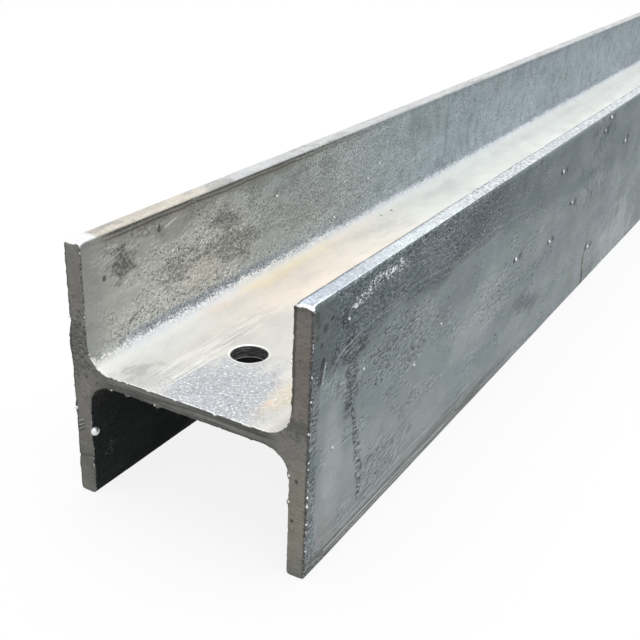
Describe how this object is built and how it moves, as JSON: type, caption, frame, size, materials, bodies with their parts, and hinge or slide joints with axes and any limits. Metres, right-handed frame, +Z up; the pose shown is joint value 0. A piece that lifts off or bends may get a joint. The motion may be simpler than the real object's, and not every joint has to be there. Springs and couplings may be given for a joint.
{
  "type": "steel h-beam",
  "caption": "Length of hot-dip galvanised rolled steel H section with square sawn ends and a drilled hole through the web near an end.",
  "frame": {"origin": "on the floor, under the middle of the beam's length and the middle of its section", "axes": "+X along the beam, from the drilled end at -X to the plain end at +X; +Y across the section, from one flange to the other; +Z up, at right angles to the level web"},
  "size_m": [1.2, 0.097, 0.099],
  "materials": {
    "galvanised_steel": "weathered hot-dip zinc coating over rolled steel, dull and mottled, with scratches and brown stains"
  },
  "bodies": {
    "root": {"h_beam": "galvanised_steel"}
  },
  "joints": []
}
